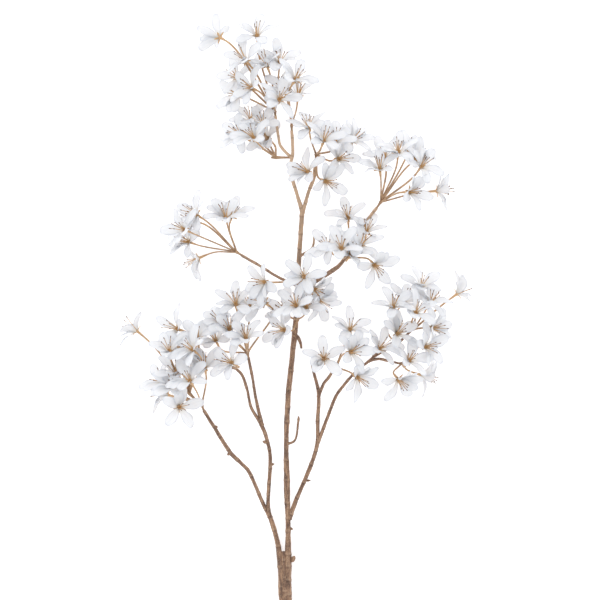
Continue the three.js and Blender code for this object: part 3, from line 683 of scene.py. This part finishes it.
def stalk_material():
    """Gold-brown stalk, darkest at its foot and gold at the mouth of the calyx."""
    m = Nodes("stalk_gold_brown")
    along, seed = m.attribute("along"), m.attribute("seed")
    speck = m.noise(m.position(), 700.0, 4.0)
    streak = m.noise(m.combine(m.times(seed, 5.0), m.times(along, 3.0), 0.0), 2.2, 3.0)
    gold = m.ramp(along, (0.0, STALK_FOOT), (0.40, STALK_MIDDLE), (0.75, STALK_CALYX), (1.0, STALK_MOUTH))
    tone = m.mix(m.times(speck, 0.45), gold, STALK_SPECK)
    shade = m.fade(streak, (0.40, 0.55), (0.56, 0.0))
    tone = m.mix(m.times(m.math("SUBTRACT", 1.0, along), shade), tone, STALK_SHADE)
    tone = m.mix(m.fade(streak, (0.52, 0.0), (0.70, 0.7)), tone, STALK_GLOW)
    return m.finish(
        Base_Color=tone, Roughness=m.linear(speck, 0.25, 0.38), Normal=m.bump(speck, 0.3, 0.0003),
        Specular_IOR_Level=0.45,
    )


def stamen_material():
    m = Nodes("stamen_gold")
    speck = m.noise(m.position(), 900.0, 2.0)
    tone = m.ramp(m.attribute("along"), (0.0, STAMEN_FOOT), (0.55, STAMEN_MIDDLE), (1.0, STAMEN_TIP))
    tone = m.mix(m.times(speck, 0.3), tone, STAMEN_SPECK)
    return m.finish(Base_Color=tone, Roughness=0.5, Normal=m.bump(speck, 0.2, 0.0002))


def anther_material():
    m = Nodes("anther_brown")
    speck = m.noise(m.position(), 1800.0, 3.0)
    tone = m.ramp(speck, (0.35, ANTHER_DARK), (0.65, ANTHER_PALE))
    return m.finish(Base_Color=tone, Roughness=0.7, Normal=m.bump(speck, 0.5, 0.0003))


def bark_material():
    """Brown bark in lengthwise streaks, with patches, pale grit, paler nodes, painted shade below the
    nodes and paler young wood.
    """
    m = Nodes("bark_brown")
    along, around, ring = m.attribute("along"), m.attribute("around"), m.attribute("ring")
    streaks = m.noise(m.combine(around, m.times(along, 0.035), 0.0), 1.5, 4.0, 0.6)
    bands = m.noise(m.combine(m.times(around, 0.45), m.times(along, 0.06), 4.0), 1.1, 3.0, 0.55)
    blotch = m.noise(m.position(), 45.0, 4.0, 0.6)
    grit = m.noise(m.position(), 800.0, 5.0, 0.7)
    tone = m.ramp(streaks, (0.30, BARK_DARKEST), (0.45, BARK_DARK), (0.56, BARK_WARM), (0.70, BARK_PALE))
    tone = m.mix(m.fade(bands, (0.52, 0.0), (0.64, 0.8)), tone, BARK_PATCH_PALE)
    tone = m.mix(m.fade(bands, (0.36, 0.8), (0.48, 0.0)), tone, BARK_PATCH_DARK)
    tone = m.mix(m.fade(blotch, (0.45, 0.0), (0.75, 0.5)), tone, BARK_BLOTCH)
    tone = m.mix(m.fade(grit, (0.30, 0.7), (0.45, 0.0)), tone, BARK_GRIT_DARK)
    tone = m.mix(m.fade(grit, (0.56, 0.0), (0.70, 0.85)), tone, BARK_GRIT_PALE)
    tone = m.mix(m.times(m.attribute("young"), 0.75), tone, BARK_YOUNG)
    tone = m.mix(m.times(m.math("MAXIMUM", ring, 0.0), 0.35), tone, BARK_NODE)
    # painted shade: a dark band below each node's swell, where shade would fall
    painted_node_shade = m.math("MAXIMUM", m.times(ring, -1.0), 0.0)
    tone = m.mix(m.times(painted_node_shade, 0.4), tone, BARK_NODE_SHADE)
    normal = m.bump(grit, 0.45, 0.0005)
    normal = m.bump(streaks, 0.5, 0.0010, normal)
    return m.finish(
        Base_Color=tone, Roughness=m.linear(grit, 0.25, 0.42), Normal=normal, Specular_IOR_Level=0.5,
    )


def floor_material():
    m = Nodes("floor_pale")
    fine = m.noise(m.position(), 40.0, 3.0)
    tone = m.ramp(fine, (0.3, FLOOR_TONES[0]), (0.7, FLOOR_TONES[1]))
    return m.finish(
        Base_Color=tone, Roughness=0.9, Specular_IOR_Level=0.1,
        Emission_Color=FLOOR_GLOW, Emission_Strength=FLOOR_GLOW_STRENGTH,
    )


# ---------------------------------------------------------------- blooms

class Bloom:
    """The middle of a bloom and its own directions: face is where it looks, side and across span it."""

    def __init__(self, entry, number):
        x, y, height, direction, lift, turn = entry
        self.number = number
        a = math.radians(direction)
        leans = LEAN_RANGE[0] < lift < LEAN_RANGE[1] and height > LOW_BLOOM
        e = math.radians(lift + LEAN_UP * (1 - lift / LEAN_FADE) if leans else lift)
        self.middle = place(x, y, height)
        self.face = np.array([math.cos(e) * math.cos(a), math.cos(e) * math.sin(a), math.sin(e)])
        self.side = np.array([-math.sin(e) * math.cos(a), -math.sin(e) * math.sin(a), math.cos(e)])
        self.across = np.array([-math.sin(a), math.cos(a), 0.0])
        self.turn = math.radians(turn)

    def spoke(self, angle):
        return self.side * math.cos(angle) + self.across * math.sin(angle)

    def scatter(self, draw, k=0):
        return scatter(self.number, draw + k)

    def opened(self, out, angle):
        """The direction that lies this far from the flower's axis, toward out."""
        return self.face * math.cos(angle) + out * math.sin(angle)


def numbered_blooms():
    """The blooms of each bunch, numbered in the order of the list."""
    found = []
    number = 0
    for *_, entries in BUNCHES:
        found.append([Bloom(entry, number + i) for i, entry in enumerate(entries)])
        number += len(entries)
    return found


def petal_line(bloom, k):
    """Points down the middle of a petal, with the direction of each step and the petal's own angle."""
    angle = bloom.turn + k * TAU / PETALS
    opening = OPENING_MEAN + OPENING_SPREAD * bloom.scatter(DRAW_OPENING, k)
    length = PETAL_LENGTH * (1 + PETAL_LENGTH_SPREAD * bloom.scatter(DRAW_LENGTH, k))
    if k >= PETALS:
        angle += math.pi / PETALS + INNER_PETAL_STRAY * bloom.scatter(DRAW_INNER_PLACE, k)
        opening -= INNER_PETAL_RISE
        length *= INNER_PETAL_LENGTH
    out = bloom.spoke(angle)
    step = length / PETAL_ROWS
    at = bloom.middle + out * PETAL_ROOT_RADIUS
    points, runs = [at], []
    for i in range(PETAL_ROWS):
        share = (i + 0.5) / PETAL_ROWS
        curl = PETAL_OPENING[0] + (PETAL_OPENING[1] - PETAL_OPENING[0]) * share
        run = bloom.opened(out, math.radians(opening + curl))
        # a petal that reaches the table lies down along it
        lowest = min(0.0, (PETAL_LINE_FLOOR - at[2]) / step)
        if run[2] < lowest:
            keep = math.sqrt(max(1 - lowest * lowest, 0.05)) / math.hypot(run[0], run[1])
            run = np.array([run[0] * keep, run[1] * keep, lowest])
        runs.append(run)
        at = at + run * step
        points.append(at)
    return angle, points, runs


def petal_outline(x):
    """How far along the petal its edge lies on the column x, from -1 to 1."""
    return WIDEST_AT + (1 - WIDEST_AT) * math.sqrt(max(1 - x * x, 0.0))


def petal_half_width(share):
    """Half the petal's width at a share of its length, up to its widest place."""
    t = min(share / WIDEST_AT, 1.0)
    swelling = math.sin(t * math.pi / 2) ** 1.25
    return PETAL_HALF_WIDTH * (PETAL_ROOT_WIDTH + (1 - PETAL_ROOT_WIDTH) * swelling)


def add_petal(work, bloom, k):
    angle, line, runs = petal_line(bloom, k)
    tangent = bloom.spoke(angle + math.pi / 2)
    seed = bloom.number * PETAL_SEEDS[0] + k * PETAL_SEEDS[1]
    twist = math.radians(PETAL_TWIST * bloom.scatter(DRAW_TWIST, k))
    cup = PETAL_CUP[0] + PETAL_CUP[1] * bloom.scatter(DRAW_CUP, k)
    wave = PETAL_WAVE[0] + PETAL_WAVE[1] * bloom.scatter(DRAW_WAVE, k)
    phase = WAVE_PHASE * bloom.scatter(DRAW_PHASE, k)
    tilt = PETAL_TILT * bloom.scatter(DRAW_TILT, k)
    wider = 1 + PETAL_WIDTH_SPREAD * bloom.scatter(DRAW_WIDTH, k)
    columns = np.linspace(-1, 1, PETAL_COLUMNS + 1)
    top, under, alongs = [], [], []
    for i in range(PETAL_ROWS + 1):
        for x in columns:
            share = i / PETAL_ROWS * petal_outline(x)
            reach = share * PETAL_ROWS
            j = min(int(reach), PETAL_ROWS - 1)
            at = line[j] + (line[j + 1] - line[j]) * (reach - j)
            before, after = runs[max(j - 1, 0)], runs[j]
            run = unit(before + (after - before) * min(reach - j + 0.5, 1.0))
            wide = turned(square_to(tangent, run), run, twist * share * 2)
            normal = cross(wide, run)
            half = petal_half_width(share) * wider
            lift = cup * x * x * math.sin(math.pi * min(share * 1.1 + 0.05, 1.0))
            lift += wave * abs(x) ** 2.5 * math.sin(WAVES * share + phase + WAVE_SLANT * x) * share
            lift -= MIDRIB_DEPTH * bell(x, MIDRIB_WIDTH) * (1 - share)
            lift += tilt * x * share * half * 0.5
            middle = at + wide * half * x * (1 - 0.03 * lift) + normal * lift
            a = middle + normal * PETAL_THICKNESS / 2
            b = middle - normal * PETAL_THICKNESS / 2
            raised = max(PETAL_FLOOR - min(a[2], b[2]), 0.0)
            a[2] += raised
            b[2] += raised
            top.append(a)
            under.append(b)
            alongs.append(share)
    across = list(columns) * (PETAL_ROWS + 1)
    work.add(top + under, sheet_faces(PETAL_ROWS, PETAL_COLUMNS),
             along=alongs + alongs, across=across + across, seed=seed)


def stalk_line(bloom, hub):
    """The stalk's course from the hub to the foot of the calyx."""
    foot = bloom.middle - bloom.face * CALYX_LENGTH
    reach = np.linalg.norm(foot - hub)
    root = hub + unit(foot - hub) * HUB_OFFSET * HUB_RADIUS
    steps = max(6, int(reach / STALK_RING))
    leaves = hub + (foot - hub) * STALK_BENDS[0]
    meets = foot - bloom.face * STALK_BENDS[1] * reach
    return bezier(root, leaves, meets, foot, np.linspace(0, 1, steps))


def add_stalk(work, bloom, hub):
    """One stalk, its calyx and the five sepals that hold the petals."""
    seed = bloom.number * 1.0
    line = list(stalk_line(bloom, hub))
    thick = PEDICEL_RADIUS * (1 + PEDICEL_SPREAD * bloom.scatter(DRAW_STALK))
    radii = [thick * (1 + STALK_FOOT_SWELL * (1 - min(i / 3, 1))) for i in range(len(line))]
    alongs = [STALK_ALONG * i / (len(line) - 1) for i in range(len(line))]
    radii[-1] = CALYX_FOOT_RADIUS
    foot = line[-1]
    for share, radius in CALYX_PROFILE:
        line.append(foot + bloom.face * CALYX_LENGTH * share)
        radii.append(radius)
        alongs.append(CALYX_ALONG[0] + CALYX_ALONG[1] * share)
    # the mouth's last rings turn inward, so all rings of the calyx are square to its axis
    runs = path_runs(line)
    runs[-len(CALYX_PROFILE):] = [bloom.face] * len(CALYX_PROFILE)
    points = tube_points(line, radii, STALK_SIDES, UP, runs)
    keep_above(points, STALK_FLOOR)
    work.add(points, tube_faces(len(line), STALK_SIDES), along=np.repeat(alongs, STALK_SIDES), seed=seed)
    for k in range(PETALS):
        add_sepal(work, bloom, bloom.turn + (k + 0.5) * TAU / PETALS, seed + 0.1 * k)


def add_sepal(work, bloom, angle, seed):
    out = bloom.spoke(angle)
    side = bloom.spoke(angle + math.pi / 2)
    at = bloom.middle - bloom.face * SEPAL_SETBACK[0] + out * (CALYX_RADIUS - SEPAL_SETBACK[1])
    opening = SEPAL_OPENING
    top, under, alongs = [], [], []
    for i in range(SEPAL_ROWS + 1):
        share = i / SEPAL_ROWS
        half = SEPAL_HALF_WIDTH * math.sqrt(max(1 - share ** 2.2, 0.0)) * (0.8 + 0.2 * share)
        run = bloom.opened(out, math.radians(opening))
        normal = cross(side, run)
        for j in range(SEPAL_COLUMNS + 1):
            x = 2 * j / SEPAL_COLUMNS - 1
            middle = at + side * half * x + normal * SEPAL_CUP * x * x
            top.append(middle + normal * SEPAL_THICKNESS / 2)
            under.append(middle - normal * SEPAL_THICKNESS / 2)
            alongs.append(SEPAL_ALONG[0] + SEPAL_ALONG[1] * share)
        at = at + run * SEPAL_LENGTH / SEPAL_ROWS
        opening += SEPAL_CURL
    keep_above(top + under, STALK_FLOOR)
    work.add(top + under, sheet_faces(SEPAL_ROWS, SEPAL_COLUMNS), along=alongs + alongs, seed=seed)


def add_stamens(work, bloom):
    """The threads in the middle of a flower, each with a small bead across its end."""
    fewest, most = STAMENS
    count = fewest + int((bloom.scatter(DRAW_STAMENS) + 1) / 2 * (most - fewest + 1))
    shares = np.linspace(0, 1, STAMEN_RINGS)
    for j in range(min(count, most)):
        stray = STAMEN_PLACE_SPREAD * bloom.scatter(DRAW_STAMEN_PLACE, j)
        angle = bloom.turn + TAU * (j + stray) / count
        spread = (bloom.scatter(DRAW_STAMEN_LEAN, j) + 1) / 2
        lean = math.radians(STAMEN_LEAN[0] + (STAMEN_LEAN[1] - STAMEN_LEAN[0]) * spread)
        share = STAMEN_LENGTHS[0] + STAMEN_LENGTHS[1] * bloom.scatter(DRAW_STAMEN_LENGTH, j)
        length = STAMEN_LENGTH * share
        out = bloom.spoke(angle)
        start = bloom.middle + out * CALYX_RADIUS * STAMEN_ROOT[0] - bloom.face * STAMEN_ROOT[1]
        first = bloom.opened(out, lean * 0.5)
        last = bloom.opened(out, lean * 1.5)
        end = start + (first + last) / 2 * length
        leaves = start + first * length * STAMEN_BENDS[0]
        meets = end - last * length * STAMEN_BENDS[1]
        line = list(bezier(start, leaves, meets, end, shares))
        keep_above(line, STAMEN_FLOOR)
        radii = STAMEN_RADIUS * (STAMEN_TAPER[0] - STAMEN_TAPER[1] * shares)
        thread = tube_points(line, radii, STAMEN_SIDES, bloom.side)
        work.add(thread, tube_faces(STAMEN_RINGS, STAMEN_SIDES), along=np.repeat(shares, STAMEN_SIDES))
        tip, axis = line[-1], unit(line[-1] - line[-2])
        path = [tip + axis * (ANTHER_LENGTH * share + ANTHER_GAP) for share, _ in ANTHER_PROFILE]
        bead = tube_points(path, [ANTHER_RADIUS * r for _, r in ANTHER_PROFILE], STAMEN_SIDES, bloom.side)
        keep_above(bead, ANTHER_FLOOR)
        work.add(bead, tube_faces(len(path), STAMEN_SIDES), slot=1, along=1.0)


def add_neck(work, foot, hub, seed):
    """The short spur that a bunch's stalks leave together."""
    line = [foot + (hub - foot) * share for share, _ in NECK_PROFILE]
    points = tube_points(line, [NECK_RADIUS * r for _, r in NECK_PROFILE], STALK_SIDES)
    alongs = np.repeat(NECK_ALONG, STALK_SIDES)
    work.add(points, tube_faces(len(line), STALK_SIDES), along=alongs, seed=seed)


# ---------------------------------------------------------------- bark

def stem_line(stations):
    """Close stations down a stem, smoothed between the given ones: point and radius."""
    corners = [np.append(place(*s[:3]), s[3]) for s in stations]
    out = []
    for i in range(len(corners) - 1):
        a = corners[max(i - 1, 0)]
        b, c = corners[i], corners[i + 1]
        d = corners[min(i + 2, len(corners) - 1)]
        steps = max(2, int(np.linalg.norm((c - b)[:3]) / BARK_RING))
        for t in np.linspace(0, 1, steps, endpoint=False):
            out.append(0.5 * (2 * b + (c - a) * t + (2 * a - 5 * b + 4 * c - d) * t ** 2
                              + (3 * b - a - 3 * c + d) * t ** 3))
    out.append(corners[-1])
    return np.array(out)


def node_places(length, seed):
    """Where along a stem its ringed nodes lie, in millimetres from its foot."""
    places, at = [], FIRST_NODE[0] + FIRST_NODE[1] * scatter(seed, 1)
    while at < length - LAST_NODE:
        places.append(at)
        at += NODE_SPACING * (1 + NODE_SPREAD * scatter(seed, len(places) + 1))
    return places


def youths(points):
    """For each point how young its wood looks, from 0 below the spray's middle to 1 near its top."""
    return [min(max((p[1] - YOUNG_FROM) / YOUNG_OVER, 0.0), 1.0) for p in points]


def skin_radius(radius, swell, angle, run, seed):
    """The skin's distance from a stem's axis, with ridges, lumps, cracks and small warts."""
    c, d = math.cos(angle), math.sin(angle)
    ridge = noise.noise(Vector((c * 1.3, d * 1.3, run * 0.035 + seed)))
    lump = noise.noise(Vector((c * 0.6, d * 0.6, run * 0.13 + seed + 9)))
    crack = noise.fractal(Vector((c * 2.6, d * 2.6, run * 0.16 + seed)), 1.0, 2.0, 2)
    wart = noise.noise(Vector((c * radius * 0.7, d * radius * 0.7, run * 0.7 + seed)))
    rough = CRACK_SIZE * crack + WART_SIZE * max(wart - WART_FROM, 0)
    return radius * swell * (1 + RIDGE_SIZE * ridge + LUMP_SIZE * lump) + rough


def add_stem(work, stations, seed):
    """One stem with ringed nodes and a root that spreads into its parent."""
    line = stem_line(stations)
    path, widths = line[:, :3], line[:, 3] * BARK_SWELL
    lengths = np.linalg.norm(np.diff(path, axis=0), axis=1)
    nodes = node_places(lengths.sum(), seed)
    toward = UP
    points, alongs, arounds, rings = [], [], [], []
    run = 0.0
    for i, (at, radius, along) in enumerate(zip(path, widths, path_runs(path))):
        toward = square_to(toward, along)
        other = cross(along, toward)
        if i:
            run += lengths[i - 1]
        off = min([run - p for p in nodes], key=abs, default=99.0)
        swell = 1 + ROOT_FLARE[0] * math.exp(-run / ROOT_FLARE[1])
        swell += NODE_SWELL[0] * bell(off, NODE_SWELL[1])
        # ring is 1 on the node's pale ring and -1 on the band of painted shade below its swell
        ring = bell(off - NODE_RING[0], NODE_RING[1]) - bell(off + NODE_PAINTED_SHADE[0], NODE_PAINTED_SHADE[1])
        for k in range(STEM_SIDES):
            a = TAU * k / STEM_SIDES
            r = skin_radius(radius, swell, a, run, seed)
            points.append(at + r * (toward * math.cos(a) + other * math.sin(a)))
            alongs.append(run + 97 * seed)
            arounds.append(math.sin(a) * 2.0 + seed)
            rings.append(ring)
    keep_above(points, BARK_FLOOR)
    work.add(points, tube_faces(len(line), STEM_SIDES), along=alongs, around=arounds, ring=rings,
             young=youths(points))


def add_knob(work, knob):
    x, y, height, across, long, direction = knob
    a = math.radians(direction)
    axis = np.array([math.cos(a), math.sin(a), 0.0])
    middle = place(x, y, height)
    runs = [share * long / 2 for share, _ in KNOB_PROFILE]
    path = [middle + axis * run for run in runs]
    points = tube_points(path, [across * r * KNOB_WIDTH for _, r in KNOB_PROFILE], KNOB_SIDES)
    for i, p in enumerate(points):
        rough = noise.fractal(Vector(p) * 0.6, 1.0, 2.0, 2)
        points[i] = p + unit(p - path[i // KNOB_SIDES]) * KNOB_ROUGHNESS * rough
    around = np.tile([math.sin(TAU * k / KNOB_SIDES) * 2 for k in range(KNOB_SIDES)], len(path))
    work.add(points, tube_faces(len(path), KNOB_SIDES), along=np.repeat(runs, KNOB_SIDES) + x,
             around=around, ring=0.0, young=youths(points))


def bark_piece(material):
    work = Patchwork("along", "around", "ring", "young")
    for i, stations in enumerate(STEMS):
        add_stem(work, stations, STEM_SEED * i)
    for knob in KNOBS:
        add_knob(work, knob)
    return work.build("bark", [material])


# ---------------------------------------------------------------- put together

def has_petal(tree, bloom, angle):
    """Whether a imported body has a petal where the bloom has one."""
    probe = (bloom.middle + bloom.spoke(bloom.turn + angle) * PETAL_SEARCH_RADIUS) * MM
    return tree.find(Vector(probe))[2] < PETAL_SEARCH_REACH * MM


def blossom_nodes(blooms):
    """For each node of petals, the numbers of the blooms that it holds."""
    found = {}
    for name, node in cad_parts.items():
        if not name.startswith("blossom_"):
            continue
        tree = kdtree.KDTree(len(node.data.vertices))
        for i, vertex in enumerate(node.data.vertices):
            tree.insert(vertex.co, i)
        tree.balance()
        found[name] = {
            b.number for b in blooms if all(has_petal(tree, b, a) for a in PETAL_SEARCH_ANGLES)
        }
    return found


petal_look = petal_material()
stalk_look = stalk_material()
stamen_look = stamen_material()
anther_look = anther_material()
bark_look = bark_material()

bark = bark_piece(bark_look)
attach(bark, "root")
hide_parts("branch")

blooms_of = numbered_blooms()
holders = blossom_nodes([bloom for blooms in blooms_of for bloom in blooms])
spurs = set()
for (bunch_name, stalk_name, bunch_from, bunch_hub, _), blooms in zip(BUNCHES, blooms_of):
    petals = Patchwork("along", "across", "seed")
    stalks = Patchwork("along", "seed")
    stamens = Patchwork("along")
    hub = place(*bunch_hub)
    if bunch_from not in spurs:
        add_neck(stalks, place(*bunch_from), hub, blooms[0].number)
        spurs.add(bunch_from)
    for bloom in blooms:
        inner_petals = 2 if bloom.scatter(DRAW_INNER_COUNT) > 0.5 else 1
        for k in range(PETALS + inner_petals):
            add_petal(petals, bloom, k)
        add_stalk(stalks, bloom, hub)
        add_stamens(stamens, bloom)
    petal_piece = petals.build(f"petals_{bunch_name}", [petal_look])
    stalk_piece = stalks.build(f"stems_{bunch_name}", [stalk_look])
    stamen_piece = stamens.build(f"stamens_{bunch_name}", [stamen_look, anther_look])
    for piece, slot in ((petal_piece, "petal"), (stalk_piece, "stalk"), (stamen_piece, "stalk")):
        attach(piece, "root")
    numbers = {bloom.number for bloom in blooms}
    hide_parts(*[name for name, held in holders.items() if numbers & held])
    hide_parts(f"stalks_{stalk_name}")

# ---------------------------------------------------------------- table, light and camera

bpy.ops.mesh.primitive_plane_add(size=TABLE_SIZE, location=(0.0, 0.0, 0.0))
floor = bpy.context.object
floor.name = "floor"
floor.data.materials.append(floor_material())


def area_light(name, place_m, size, power):
    light = bpy.data.lights.new(name, "AREA")
    light.shape = "DISK"
    light.size = size
    light.energy = power
    holder = bpy.data.objects.new(name, light)
    holder.location = place_m
    holder.rotation_mode = "QUATERNION"
    holder.rotation_quaternion = (Vector(AIM) - Vector(place_m)).to_track_quat("-Z", "Y")
    bpy.context.scene.collection.objects.link(holder)


area_light("key", *KEY_LAMP)
area_light("fill", *FILL_LAMP)

world = bpy.data.worlds.new("studio")
world.use_nodes = True
background = world.node_tree.nodes["Background"]
background.inputs["Color"].default_value = SKY
background.inputs["Strength"].default_value = SKY_STRENGTH
bpy.context.scene.world = world
bpy.context.scene.view_settings.view_transform = "Standard"

lens = bpy.data.cameras.new("camera")
lens.lens = LENS
lens.sensor_width = SENSOR
camera = bpy.data.objects.new("camera", lens)
camera.location = (VIEW_OVER[0] * MM, VIEW_OVER[1] * MM, VIEW_HEIGHT * MM)
bpy.context.scene.collection.objects.link(camera)
bpy.context.scene.camera = camera
